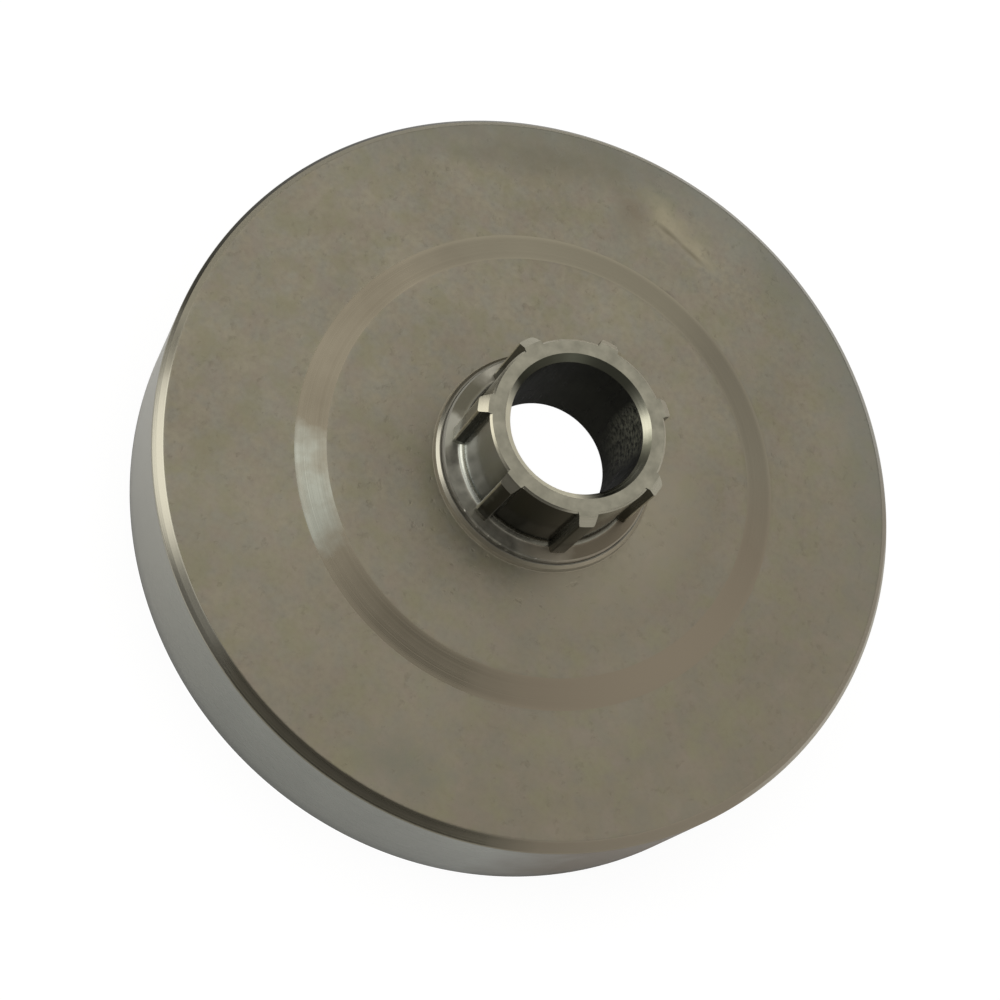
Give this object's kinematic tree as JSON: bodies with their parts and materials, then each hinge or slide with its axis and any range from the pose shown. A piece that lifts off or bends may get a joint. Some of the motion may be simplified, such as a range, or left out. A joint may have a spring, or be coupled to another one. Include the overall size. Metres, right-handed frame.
{
  "type": "chainsaw clutch drum",
  "caption": "Round steel clutch cup with a stepped closed end and a short splined hub, bored through, that turns a drive sprocket.",
  "frame": {"origin": "centre of the open rim, in the plane that the rim stands on", "axes": "+Z along the axis of the bore, from the open rim towards the hub's nose; one spline is centred on +X"},
  "size_m": [0.075, 0.075, 0.0258],
  "materials": {
    "cup_steel": "matte tumbled closed end, smooth turned skirt",
    "hub_steel": "turned, darkened in the bore and the grooves"
  },
  "bodies": {
    "root": {"drum_cup": "cup_steel", "splined_hub": "hub_steel"}
  },
  "joints": []
}
